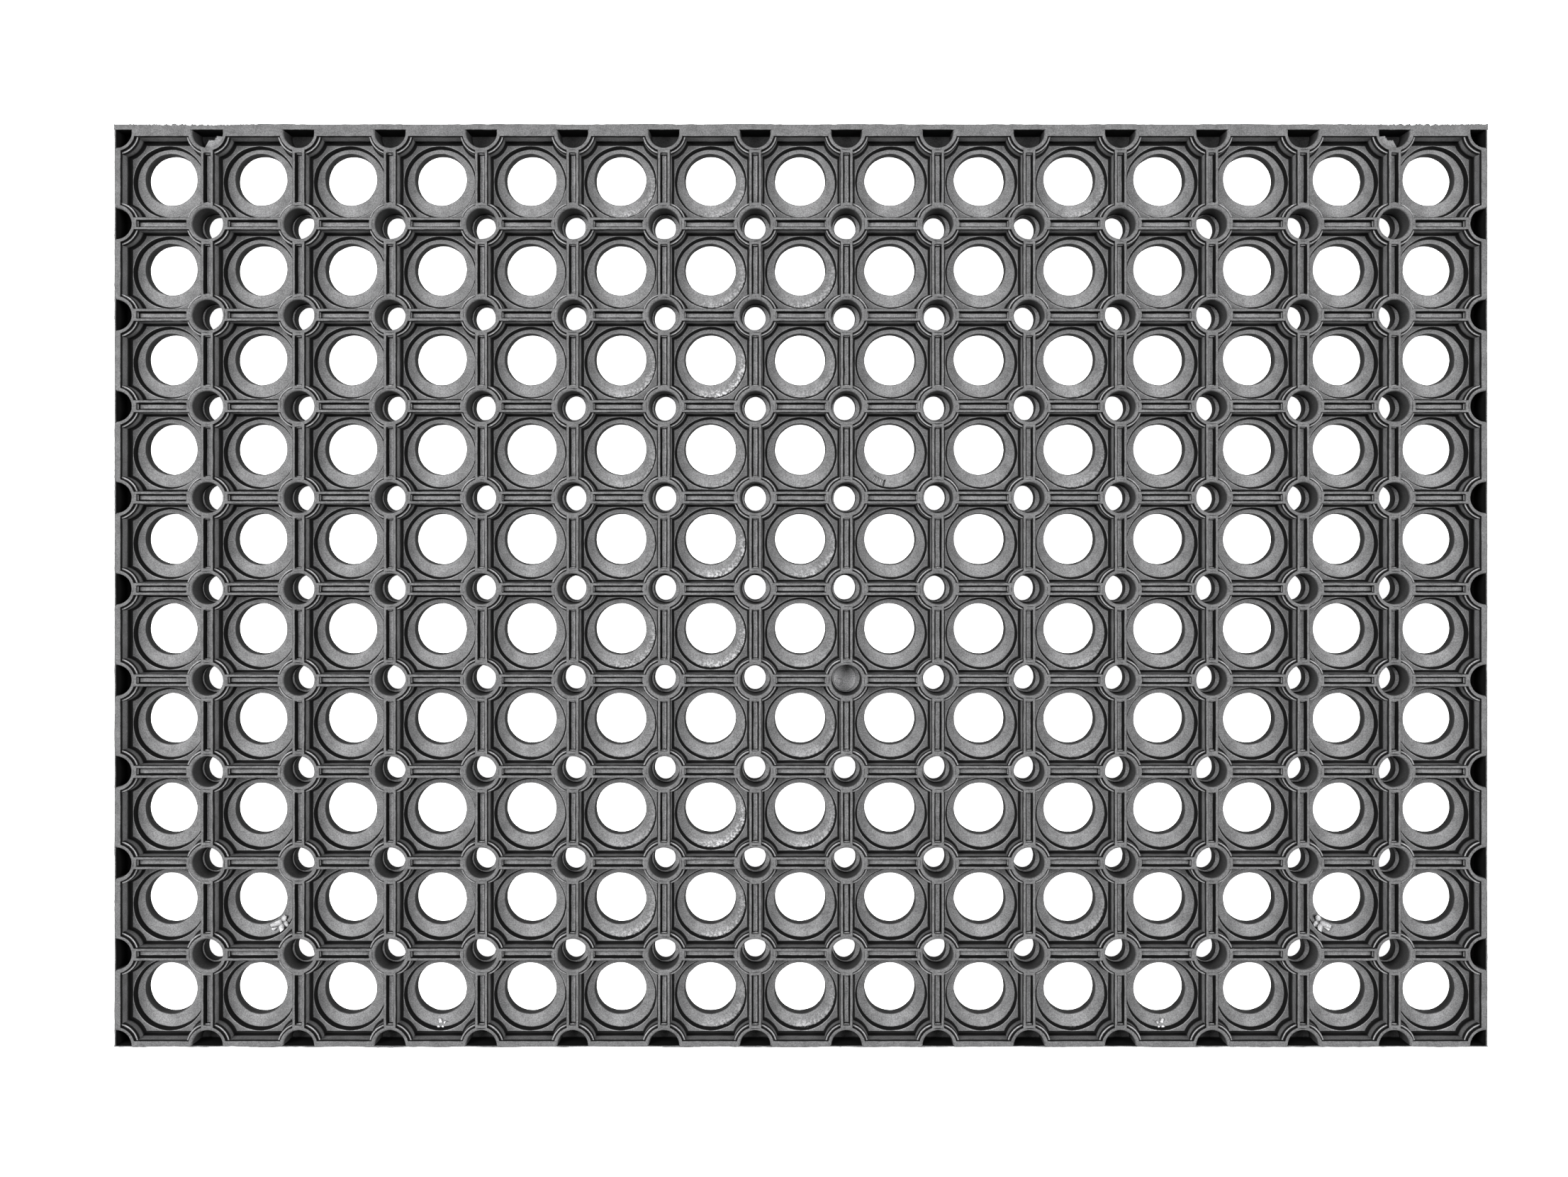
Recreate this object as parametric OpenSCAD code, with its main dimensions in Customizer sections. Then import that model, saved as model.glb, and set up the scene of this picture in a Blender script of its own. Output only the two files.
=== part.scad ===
// Rubber ring mat. The real mat is one moulding: a grid of webs with a large
// drain ring in every cell and a small drain sleeve at every crossing.
// Here it is divided into its moulded features, which meet face to face.
// +X runs along the length, +Y towards the back edge with the thick strip, +Z up.
// The origin is under the middle of the mat, on the surface it lies on.

/* [Grid] */
// Number of drain rings along the length
cols = 15; // [9:1:18]
// Number of drain rings along the width
rows = 10; // [7:1:11]
// Distance between ring centres, both ways
pitch = 39.9; // [39:0.1:42]
// Thickness of the mat
mat_t = 22; // [21:0.5:26]

/* [Border] */
// Distance from the outermost grid lines to the front, left and right outlines
edge_margin = 0.75; // [0.5:0.05:2]
// Distance from the rearmost grid line to the back outline
back_margin = 3.8; // [3:0.1:8]
// Wall left at the outline outside a front, left or right half sleeve
skin_t = 0.9; // [0.8:0.1:2]
// Wall left at the outline outside a back half sleeve
back_skin_t = 2.8; // [1:0.1:4]

/* [Webs] */
// Width of a web, and of the border walls inside the outermost grid lines
web_w = 5.4; // [5:0.1:7]
// Width of the groove along the top of a web
slot_w = 3; // [2:0.1:3.6]
// Depth of that groove
slot_d = 3.3; // [1:0.1:5]
// Distance from a sleeve's centre to the end of the groove
slot_end = 8.95; // [8.7:0.05:10]

/* [Drain rings] */
// Height of the pan floor's underside above the ground
pan_z = 6; // [4:0.5:8]
// Thickness of the pan floor
pan_t = 4.6; // [3:0.1:6]
// Outer radius of the ring's foot
ring_r = 15.8; // [15:0.1:16]
// Radius of the round opening in the pan floor
mouth_r = 16; // [15.5:0.1:16.2]
// Depth of the opening's step, from the pan floor to the ring's face
mouth_d = 3.8; // [1:0.1:4]
// Outer radius of the ring's funnel-shaped face
face_r = 15.4; // [14:0.1:15.5]
// Fall of that face for each millimetre inwards
face_slope = 0.15; // [0.1:0.05:1]
// Radius of the ring's drain hole at the ground
hole_r = 10.85; // [9:0.05:11]
// Radius of that hole at the level of the ring's face
hole_top_r = 11.3; // [11.1:0.05:12.5]
// Offset of the hole from the ring's centre, to the left
hole_left = 0.4; // [0:0.1:1]
// Offset of the hole from the ring's centre, towards the back
hole_back = 1.9; // [0:0.1:2]

/* [Sleeves] */
// Outer radius of a sleeve's barrel
sleeve_r = 9.6; // [9:0.1:10.5]
// Outer radius of the raised lip round its mouth
lip_r = 8.4; // [8:0.1:8.6]
// Height of the lip above the barrel
lip_h = 1.8; // [1:0.1:3]
// Outer radius of its foot
foot_r = 8; // [7.5:0.1:8.4]
// Radius of the upper bore at the mouth
bore_mouth_r = 7.4; // [7:0.1:7.6]
// Radius of the upper bore at its floor
bore_floor_r = 6.4; // [6.4:0.1:6.8]
// Height of the upper bore's floor above the ground
bore_floor_z = 7.5; // [7:0.5:10]
// Radius of the lower bore
low_bore_r = 5.5; // [4.5:0.1:5.5]
// Offset of the lower bore from the sleeve's centre, to the left
low_bore_left = 0.7; // [0:0.1:0.8]
// Column line and row line, counted from the left and the back, of the closed sleeve
closed_at = [8, 6]; // [1:1:6]

/* [Hidden] */
$fn = 64;
ANTHRACITE = [0.25, 0.255, 0.26];
GRAPHITE = [0.30, 0.305, 0.31];
SLATE = [0.35, 0.355, 0.36];
face_z = pan_z + pan_t - mouth_d;
funnel_r = 5;
funnel_d = face_slope * (face_r - funnel_r);
lip_z = mat_t - lip_h;
mat_x = cols * pitch + 2 * edge_margin;
mat_y = rows * pitch + edge_margin + back_margin;
grid_shift = (edge_margin - back_margin) / 2;
side_wall = edge_margin + web_w / 2;
back_wall = back_margin + web_w / 2;
skin_line = skin_t - edge_margin;
back_skin_line = back_margin - back_skin_t;
past = 1;

// Two figures, so that the names sort in order
function two(n) = n < 10 ? str("0", n) : str(n);
// Grid lines: columns are counted from the left, rows from the back
function line_x(i) = (i - cols / 2) * pitch;
function line_y(j) = (rows / 2 - j) * pitch + grid_shift;

// Outside of a sleeve: foot, barrel and raised lip
module sleeve_body() {
    rotate_extrude()
        polygon([
            [0, 0], [foot_r, 0], [foot_r, pan_z], [sleeve_r, pan_z],
            [sleeve_r, lip_z], [lip_r, lip_z], [lip_r, mat_t], [0, mat_t]
        ]);
}

// Tapered upper bore, closed at its floor
module upper_bore() {
    slope = (bore_mouth_r - bore_floor_r) / (mat_t - bore_floor_z);
    translate([0, 0, bore_floor_z])
        cylinder(r1 = bore_floor_r, r2 = bore_mouth_r + slope * past, h = mat_t - bore_floor_z + past);
}

module lower_bore() {
    translate([-low_bore_left, 0, -past])
        cylinder(r = low_bore_r, h = bore_floor_z + 2 * past);
}

module sleeve() {
    difference() {
        sleeve_body();
        upper_bore();
        lower_bore();
    }
}

// The part of a sleeve body inside the outline's skin, which stands at skin_x, and at a
// corner at skin_y too. The middle of the mat lies towards +X, and at a corner towards +X and +Y.
module edge_sleeve_body(skin_x, skin_y = -sleeve_r - past) {
    intersection() {
        sleeve_body();
        translate([skin_x, skin_y, -past])
            cube([2 * sleeve_r, 3 * sleeve_r, mat_t + 2 * past]);
    }
}

// A sleeve at the border: blind, and cut off along the skin
module edge_sleeve(skin_x, skin_y = -sleeve_r - past) {
    difference() {
        edge_sleeve_body(skin_x, skin_y);
        upper_bore();
    }
}

// Places along each side of the border, turned so that +X points inwards
module at_left() {
    for (j = [1:rows - 1])
        translate([line_x(0), line_y(j), 0]) children();
}

module at_right() {
    for (j = [1:rows - 1])
        translate([line_x(cols), line_y(j), 0]) rotate([0, 0, 180]) children();
}

module at_front() {
    for (i = [1:cols - 1])
        translate([line_x(i), line_y(rows), 0]) rotate([0, 0, 90]) children();
}

module at_back() {
    for (i = [1:cols - 1])
        translate([line_x(i), line_y(0), 0]) rotate([0, 0, -90]) children();
}

// The corners: front left, front right, back right and back left
module corner_bodies() {
    translate([line_x(0), line_y(rows), 0])
        edge_sleeve_body(skin_line, skin_line);
    translate([line_x(cols), line_y(rows), 0]) rotate([0, 0, 90])
        edge_sleeve_body(skin_line, skin_line);
    translate([line_x(cols), line_y(0), 0]) rotate([0, 0, 180])
        edge_sleeve_body(skin_line, -back_skin_line);
    translate([line_x(0), line_y(0), 0]) rotate([0, 0, -90])
        edge_sleeve_body(-back_skin_line, skin_line);
}

module back_rim() {
    color(ANTHRACITE)
        difference() {
            translate([-mat_x / 2, mat_y / 2 - back_wall, 0]) cube([mat_x, back_wall, mat_t]);
            at_back() edge_sleeve_body(-back_skin_line);
            corner_bodies();
        }
}

module front_rim() {
    color(ANTHRACITE)
        difference() {
            translate([-mat_x / 2, -mat_y / 2, 0]) cube([mat_x, side_wall, mat_t]);
            at_front() edge_sleeve_body(skin_line);
            corner_bodies();
        }
}

// A left or right wall fills the stretch between the front and back walls
module side_bar(x) {
    translate([x, side_wall - mat_y / 2, 0]) cube([side_wall, mat_y - side_wall - back_wall, mat_t]);
}

module left_rim() {
    color(ANTHRACITE)
        difference() {
            side_bar(-mat_x / 2);
            at_left() edge_sleeve_body(skin_line);
            corner_bodies();
        }
}

module right_rim() {
    color(ANTHRACITE)
        difference() {
            side_bar(mat_x / 2 - side_wall);
            at_right() edge_sleeve_body(skin_line);
            corner_bodies();
        }
}

module back_half_sleeves() {
    color(SLATE) at_back() edge_sleeve(-back_skin_line);
}

module front_half_sleeves() {
    color(SLATE) at_front() edge_sleeve(skin_line);
}

module left_half_sleeves() {
    color(SLATE) at_left() edge_sleeve(skin_line);
}

module right_half_sleeves() {
    color(SLATE) at_right() edge_sleeve(skin_line);
}

module corner_quarter_sleeves() {
    color(SLATE)
        difference() {
            corner_bodies();
            for (x = [line_x(0), line_x(cols)], y = [line_y(0), line_y(rows)])
                translate([x, y, 0]) upper_bore();
        }
}

// The thin web that closes one sleeve's lower bore
module closed_sleeve_web() {
    color(GRAPHITE)
        translate([line_x(closed_at[0]) - low_bore_left, line_y(closed_at[1]), pan_z])
            cylinder(r = low_bore_r, h = bore_floor_z - pan_z);
}

// The floor of one cell: a square between the webs, cut back round the four sleeves
module pan_outline() {
    difference() {
        square(pitch - web_w, center = true);
        for (x = [-1, 1], y = [-1, 1])
            translate([x * pitch / 2, y * pitch / 2]) circle(r = sleeve_r);
    }
}

// The opening over a drain ring: a round step, then the ring's funnel-shaped face
module ring_mouth() {
    translate([0, 0, face_z])
        cylinder(r = mouth_r, h = mouth_d + past);
    translate([0, 0, face_z - funnel_d])
        cylinder(r1 = funnel_r, r2 = face_r, h = funnel_d);
}

// The drain hole, wider at the top and off the ring's centre
module drain_hole() {
    slope = (hole_top_r - hole_r) / face_z;
    translate([-hole_left, hole_back, -past])
        cylinder(r1 = hole_r - slope * past, r2 = hole_top_r + slope * past, h = face_z + 2 * past);
}

// One cell: its pan floor and the drain ring that hangs from it to the ground
module ring_cup() {
    difference() {
        union() {
            translate([0, 0, pan_z]) linear_extrude(pan_t) pan_outline();
            cylinder(r = ring_r, h = pan_z + pan_t / 2);
        }
        ring_mouth();
        drain_hole();
    }
}

module ring_row(j) {
    color(GRAPHITE)
        for (i = [1:cols])
            translate([line_x(i - 0.5), line_y(j - 0.5), 0]) ring_cup();
}

module sleeve_row(j) {
    color(SLATE)
        for (i = [1:cols - 1])
            translate([line_x(i), line_y(j), 0]) sleeve();
}

// One web along X between two sleeves, with the groove along its top
module web() {
    difference() {
        translate([-pitch / 2, -web_w / 2, pan_z]) cube([pitch, web_w, mat_t - pan_z]);
        for (x = [-1, 1])
            translate([x * pitch / 2, 0, 0]) sleeve_body();
        translate([slot_end - pitch / 2, -slot_w / 2, mat_t - slot_d])
            cube([pitch - 2 * slot_end, slot_w, slot_d + past]);
    }
}

module long_web_row(j) {
    color(ANTHRACITE)
        for (i = [1:cols])
            translate([line_x(i - 0.5), line_y(j), 0]) web();
}

module cross_web_column(i) {
    color(ANTHRACITE)
        for (j = [1:rows])
            translate([line_x(i), line_y(j - 0.5), 0]) rotate([0, 0, 90]) web();
}

back_rim();
front_rim();
left_rim();
right_rim();
back_half_sleeves();
front_half_sleeves();
left_half_sleeves();
right_half_sleeves();
corner_quarter_sleeves();
closed_sleeve_web();
for (j = [1:rows])
    ring_row(j);
for (j = [1:rows - 1])
    sleeve_row(j);
for (j = [1:rows - 1])
    long_web_row(j);
for (i = [1:cols - 1])
    cross_web_column(i);
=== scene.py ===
"""Rubber ring mat: one anthracite moulding, a grid of grooved webs with a drain ring in every
cell, a small sleeve at every crossing, and half sleeves along the border.

Shapes are worked out in millimetres and turned into metres when a piece is made.
+X runs along the length, +Y towards the back edge with the thick strip, +Z up.
"""

import math

import bpy
import numpy as np
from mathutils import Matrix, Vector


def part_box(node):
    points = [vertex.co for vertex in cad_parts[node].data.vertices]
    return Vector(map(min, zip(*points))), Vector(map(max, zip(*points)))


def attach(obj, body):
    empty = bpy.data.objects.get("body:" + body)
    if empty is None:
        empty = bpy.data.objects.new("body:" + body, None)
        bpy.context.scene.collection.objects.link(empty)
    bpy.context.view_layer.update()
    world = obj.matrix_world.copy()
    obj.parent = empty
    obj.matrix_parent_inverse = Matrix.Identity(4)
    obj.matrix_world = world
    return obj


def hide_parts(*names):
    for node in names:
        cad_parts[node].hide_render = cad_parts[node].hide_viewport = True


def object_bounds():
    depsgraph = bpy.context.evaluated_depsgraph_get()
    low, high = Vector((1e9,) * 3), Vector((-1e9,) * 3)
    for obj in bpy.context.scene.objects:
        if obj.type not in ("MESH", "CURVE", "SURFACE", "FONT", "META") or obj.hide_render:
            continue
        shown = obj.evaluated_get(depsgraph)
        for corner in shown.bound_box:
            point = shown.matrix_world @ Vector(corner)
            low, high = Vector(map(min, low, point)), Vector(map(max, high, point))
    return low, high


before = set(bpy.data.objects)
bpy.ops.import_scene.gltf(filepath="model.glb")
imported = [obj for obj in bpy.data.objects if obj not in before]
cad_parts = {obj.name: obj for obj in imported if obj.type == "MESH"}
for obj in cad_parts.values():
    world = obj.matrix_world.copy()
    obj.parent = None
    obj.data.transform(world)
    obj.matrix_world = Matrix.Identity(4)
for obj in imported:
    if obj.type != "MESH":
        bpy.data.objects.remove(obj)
cad_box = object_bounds()

MM = 0.001

# ---------------------------------------------------------------- the grid, from the CAD frame


def middle(node, axis):
    """The middle of a CAD node along one axis, in millimetres."""
    low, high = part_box(node)
    return (low[axis] + high[axis]) / 2 / MM


COLS = 1 + sum(name.startswith("cross_web_column_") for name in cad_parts)
ROWS = 1 + sum(name.startswith("long_web_row_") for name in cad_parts)
PITCH = middle("cross_web_column_02", 0) - middle("cross_web_column_01", 0)
FIRST_X = middle("cross_web_column_01", 0)
FIRST_Y = middle("long_web_row_01", 1)
LEFT, FRONT = cad_box[0][0] / MM, cad_box[0][1] / MM
RIGHT, BACK = cad_box[1][0] / MM, cad_box[1][1] / MM
MAT_T = cad_box[1][2] / MM


def line_x(i):
    """Column lines are counted from the left, and line 0 is the left border's."""
    return FIRST_X + (i - 1) * PITCH


def line_y(j):
    """Row lines are counted from the back, and line 0 is the back border's."""
    return FIRST_Y - (j - 1) * PITCH


EDGE_MARGIN = line_x(0) - LEFT
BACK_MARGIN = BACK - line_y(0)
HALF = PITCH / 2

# ---------------------------------------------------------------- sizes, in millimetres

SKIN = 0.9  # wall outside a front, left or right half sleeve
BACK_SKIN = 2.8  # wall outside a back half sleeve
LAP = 0.1  # how far one piece runs into the next, so that no gap shows

LAND_HALF = 2.7  # half the width of a web at its top
WALL_HALF = 3.2  # half its width at the pan floor: its sides are drafted
SLOT_HALF = 1.5  # half the width of its groove, at the top and at the groove's floor
SLOT_FLOOR_HALF = 1.02
SLOT_D = 3.3  # depth of the groove
SLOT_END = 8.95  # from a sleeve's centre to the end of the groove
WEB_REACH = 7.9  # a web runs on over the lip, up to this radius
BORDER_LAND = 2.9  # width of the flat top of the front, left and right borders
BACK_LAND = 5.6

PAN_Z = 6.0  # underside of the pan floor
PAN_TOP = 10.6
RING_R = 15.8  # outside of the ring's foot
MOUTH_R = 16.0  # edge of the pan floor, where it steps down to the ring's face
FACE_R = 15.25
FACE_Z = 7.0  # height of the face's outer edge
FACE_LOW = 0.6  # its lowest height, at the hole
FACE_SLOPE = 0.12
HOLE_R = 11.1  # drain hole at the ground and at the height PAN_Z
HOLE_TOP_R = 11.4
HOLE_CENTRE = (-0.4, 1.9)  # from the middle of the cell

SLEEVE_R = 9.6  # outside of the barrel at the top
SLEEVE_FOOT_R = 9.9  # and at the pan floor: it is drafted too
LIP_R = 8.4
LIP_TOP = MAT_T - 0.03  # a hair below the webs, which end on it
LEDGE_Z = 20.2  # the ledge round the lip
BORE_Z = 7.5  # the step between the upper and the lower bore
BORE_RX = 4.75  # the lower bore is a little narrower along X than along Y
BORE_RY = 5.45
BORE_OFFSET = (-0.55, 0.2)  # mean place of the lower bore in its sleeve
FOOT_R = 8.0
BLIND_R = 6.32  # floor of a half sleeve

# ---------------------------------------------------------------- tones, which paint light and shade

# painted shade: the black tone at edges, in holes and grooves and at the feet of walls
DARK = 0.01  # edges and the feet of walls
WALL_TONE = 0.8
LAND_TONE = 0.74
LAND_EDGE_TONE = 0.76
# Painted light: groove floors are painted lighter to stand in for light their walls keep off, the
# webs along Y most, and more at the mat's middle than at its ends.
LONG_GROOVE_TONE = 0.95  # groove floors of the webs along X
CROSS_GROOVE_TONES = (3.0, 1.4)  # and of the webs along Y, at the mat's middle and at its ends

# ---------------------------------------------------------------- loops and solids
#
# A loop is an array of points (x, y, z, tone). Tone scales the rubber's brightness, and it is where
# light and shade are painted: about 1 on open surfaces, painted shade down to black in recesses,
# grooves, holes and bores and at the tops and feet of walls, painted highlights above 1 along lips,
# ledges and steps, and lighter or darker marks on torn rubber. A solid is a pair (loops, cyclic): a
# skin over closed loops, joined back to the first loop when it is cyclic, or capped with a flat
# face at both ends.

ARC_STEPS = 10
SIDE_STEPS = 12
SLEEVE_STEPS = 64
SHARP_DEGREES = 50  # steeper edges than this are shaded sharp


def circle_loop(angles, radius, z, tone=1.0, middle_xy=(0.0, 0.0)):
    """A circle through the given angles."""
    x = middle_xy[0] + radius * np.cos(angles)
    y = middle_xy[1] + radius * np.sin(angles)
    return np.stack([x, y, np.full_like(x, z), np.full_like(x, tone)], axis=1)


def pan_loop(half, corner, z, tone=1.0):
    """A cell's outline: straight sides at +-half, cut back round the corners by arcs."""
    gap = HALF - half
    reach = HALF - math.sqrt(corner**2 - gap**2)
    side_y = np.linspace(-reach, reach, SIDE_STEPS, endpoint=False)
    side = np.stack([np.full_like(side_y, half), side_y], axis=1)
    start = math.atan2(reach - HALF, half - HALF)
    end = math.atan2(half - HALF, reach - HALF)
    turn = np.linspace(start, end, ARC_STEPS, endpoint=False)
    arc = np.stack([HALF + corner * np.cos(turn), HALF + corner * np.sin(turn)], axis=1)
    quarter = np.concatenate([side, arc])
    quarters = []
    for k in range(4):
        c, s = round(math.cos(k * math.pi / 2)), round(math.sin(k * math.pi / 2))
        quarters.append(quarter @ np.array([[c, s], [-s, c]]))
    xy = np.concatenate(quarters)
    rest = np.tile([z, tone], (len(xy), 1))
    return np.concatenate([xy, rest], axis=1)


def placed(solid, x, y, turn=0.0):
    """A copy of a solid, turned about Z and moved."""
    loops, cyclic = solid
    c, s = math.cos(turn), math.sin(turn)
    out = loops.copy()
    out[..., 0] = x + c * loops[..., 0] - s * loops[..., 1]
    out[..., 1] = y + s * loops[..., 0] + c * loops[..., 1]
    return out, cyclic


def skin_faces(count, points, cyclic):
    """Quads between neighbouring loops."""
    rows = np.arange(count if cyclic else count - 1)[:, None] * points
    here = np.arange(points)[None, :]
    after = (here + 1) % points
    above = (rows + points) % (count * points)
    quads = np.stack([rows + here, rows + after, above + after, above + here], axis=-1)
    return quads.reshape(-1, 4)


def volume(verts, quads):
    """Signed volume under the quads, which is negative when they face inwards."""
    a, b, c, d = (verts[quads[:, k]] for k in range(4))
    return float((np.cross(a, b) * c).sum() + (np.cross(a, c) * d).sum())


def solid_mesh(solid):
    """Vertices with their tones, face corners and face sizes of one solid, facing outwards."""
    loops, cyclic = solid
    count, points = loops.shape[:2]
    verts = loops.reshape(-1, 4)
    quads = skin_faces(count, points, cyclic)
    first = np.arange(points)[::-1]
    last = np.arange(points) + (count - 1) * points
    centred = verts[:, :3] - verts[:, :3].mean(axis=0)
    if volume(centred, quads) < 0:
        quads, first, last = quads[:, ::-1], first[::-1], last[::-1]
    corners = [quads.ravel()]
    sizes = [np.full(len(quads), 4)]
    if not cyclic:
        corners += [first, last]
        sizes += [np.array([points, points])]
    return verts, np.concatenate(corners), np.concatenate(sizes)


def waves(x, y, length, seed):
    """A smooth, repeatable unevenness between about -1 and 1."""
    rng = np.random.default_rng(seed)
    total = np.zeros_like(x)
    sines = 5
    for _ in range(sines):
        heading = rng.uniform(0, 2 * math.pi)
        k = 2 * math.pi / (length * rng.uniform(0.7, 1.5))
        phase = rng.uniform(0, 2 * math.pi)
        total += np.sin(k * (x * math.cos(heading) + y * math.sin(heading)) + phase)
    return total / 3


def uneven(verts):
    """Moulded rubber is never quite true: edges wander by a few hundredths of a millimetre."""
    x, y, z = verts[:, 0], verts[:, 1], verts[:, 2]
    much, little = 0.05, 0.03
    wide, medium, fine = 30, 9, 2.5
    out = verts.copy()
    out[:, 0] += much * waves(x, y + z, medium, 11) + little * waves(x, y + z, fine, 12)
    out[:, 1] += much * waves(x + z, y, medium, 13) + little * waves(x + z, y, fine, 14)
    out[:, 2] += (much * waves(x, y, wide, 15) - much) * z / MAT_T
    return out


def add_piece(name, solids, material, nodes, wear_and_glint=None):
    """One visible piece made of solids, in place of the CAD nodes that it stands for. The last
    argument is a function that gives, at each vertex, how worn the rubber is, and so how strongly
    a glint of light is painted there."""
    verts, corners, sizes = [], [], []
    offset = 0
    for solid in solids:
        v, c, s = solid_mesh(solid)
        verts.append(v)
        corners.append(c + offset)
        sizes.append(s)
        offset += len(v)
    verts = uneven(np.concatenate(verts))
    corners = np.concatenate(corners)
    sizes = np.concatenate(sizes)
    mesh = bpy.data.meshes.new(name)
    mesh.vertices.add(len(verts))
    mesh.vertices.foreach_set("co", (verts[:, :3] * MM).ravel())
    mesh.loops.add(len(corners))
    mesh.loops.foreach_set("vertex_index", corners.astype(np.int32))
    mesh.polygons.add(len(sizes))
    starts = np.concatenate([[0], np.cumsum(sizes)[:-1]])
    mesh.polygons.foreach_set("loop_start", starts.astype(np.int32))
    # each vertex's painted light and shade
    tone = mesh.attributes.new("tone", "FLOAT", "POINT")
    tone.data.foreach_set("value", verts[:, 3].astype(np.float32))
    if wear_and_glint is not None:
        wear_and_glint_layer = mesh.attributes.new("wear_and_glint", "FLOAT", "POINT")
        wear_and_glint_layer.data.foreach_set("value", wear_and_glint(verts).astype(np.float32))
    mesh.update(calc_edges=True)
    mesh.shade_smooth()
    mesh.set_sharp_from_angle(angle=math.radians(SHARP_DEGREES))
    mesh.materials.append(material)
    piece = bpy.data.objects.new(name, mesh)
    bpy.context.scene.collection.objects.link(piece)
    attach(piece, "root")
    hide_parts(*nodes)


# ---------------------------------------------------------------- drain ring and pan of one cell


def face_height(xy):
    """Height of the ring's funnel-shaped face at points in the cell."""
    return np.maximum(FACE_Z - FACE_SLOPE * (FACE_R - np.hypot(xy[:, 0], xy[:, 1])), FACE_LOW)


def face_edge(angles):
    """Where the drain hole's tapered wall meets the funnel-shaped face."""
    loop = circle_loop(angles, HOLE_R, 0, 1.0, HOLE_CENTRE)
    rounds = 12  # each round brings the edge's height and radius closer to each other
    for _ in range(rounds):
        height = face_height(loop)
        radius = HOLE_R + (HOLE_TOP_R - HOLE_R) * height / PAN_Z
        loop[:, 0] = HOLE_CENTRE[0] + radius * np.cos(angles)
        loop[:, 1] = HOLE_CENTRE[1] + radius * np.sin(angles)
    loop[:, 2] = height
    return loop


def ring_cup():
    """The pan floor and its drain ring, as one ring-shaped skin from the hole outwards."""
    outline = pan_loop(HALF - LAND_HALF, SLEEVE_R, PAN_TOP)
    angles = np.arctan2(outline[:, 1], outline[:, 0])
    loops = []
    # the drain hole's wall, painted black as shade up to the face
    for radius, z in ((HOLE_R + 0.3, 0), (HOLE_R + 0.02, 0.25)):
        loops.append(circle_loop(angles, radius, z, DARK, HOLE_CENTRE))
    inner = face_edge(angles)
    for share, tone in ((0.45, DARK), (0.95, 0.12)):
        loops.append(loops[1] + share * (inner - loops[1]))
        loops[-1][:, 3] = tone
    outer = circle_loop(angles, FACE_R - 0.15, 0, 1.0)
    # share of the way from the hole to the face's outer edge, tone; painted shade darkens the face
    # at the hole's edge
    face_tones = ((0.02, 0.6), (0.08, 1.2), (0.35, 1.15), (0.65, 1.15), (0.9, 1.15), (0.96, 1.0))
    for share, tone in face_tones:
        loop = inner + share * (outer - inner)
        loop[:, 2] = face_height(loop)
        loop[:, 3] = tone
        loops.append(loop)
    # the step up to the pan floor: radius, height, tone. The step is painted black as shade, and
    # the pan floor's edge above it has a painted highlight.
    step = (
        (FACE_R - 0.16, FACE_Z - 0.03, 0.04),
        (FACE_R + 0.04, FACE_Z + 0.05, DARK),
        (FACE_R + 0.2, PAN_TOP - 2.0, DARK),
        (MOUTH_R - 0.16, PAN_TOP - 0.5, DARK),
        (MOUTH_R - 0.05, PAN_TOP - 0.15, 0.1),
        (MOUTH_R + 0.03, PAN_TOP - 0.02, 1.7),
        (MOUTH_R + 0.16, PAN_TOP, 1.6),
        (MOUTH_R + 0.28, PAN_TOP, 0.92),
    )
    for radius, z, tone in step:
        loops.append(circle_loop(angles, radius, z, tone))
    wall = HALF - WALL_HALF
    # the pan floor's outer edge, which runs in under the webs and sleeves, and then its
    # underside: half width, corner radius, height, tone. It is painted black as shade where it
    # meets the webs and sleeves.
    rise = (
        (wall - 0.75, SLEEVE_FOOT_R + 0.95, PAN_TOP, 0.9),
        (wall - 0.57, SLEEVE_FOOT_R + 0.7, PAN_TOP + 0.02, 0.03),
        (wall - 0.02, SLEEVE_FOOT_R + 0.04, PAN_TOP + 0.2, DARK),
        (wall + 0.3, SLEEVE_FOOT_R - 0.3, PAN_TOP + 0.4, DARK),
        (wall + 0.6, SLEEVE_FOOT_R - 0.55, PAN_TOP, 0.4),
        (wall + 0.6, SLEEVE_FOOT_R - 0.55, PAN_Z + 0.2, 0.8),
        (wall + 0.45, SLEEVE_FOOT_R - 0.35, PAN_Z, 0.9),
    )
    for half, corner, z, tone in rise:
        loops.append(pan_loop(half, corner, z, tone))
    # the outside of the ring, down to the ground: radius, height, tone
    foot = (
        (RING_R + 0.45, PAN_Z, 0.9),
        (RING_R + 0.12, PAN_Z - 0.13, 0.7),
        (RING_R, PAN_Z - 0.5, 0.8),
        (RING_R - 0.05, 0.3, 0.9),
        (RING_R - 0.3, 0, 1),
    )
    for radius, z, tone in foot:
        loops.append(circle_loop(angles, radius, z, tone))
    return np.stack(loops), True


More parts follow.
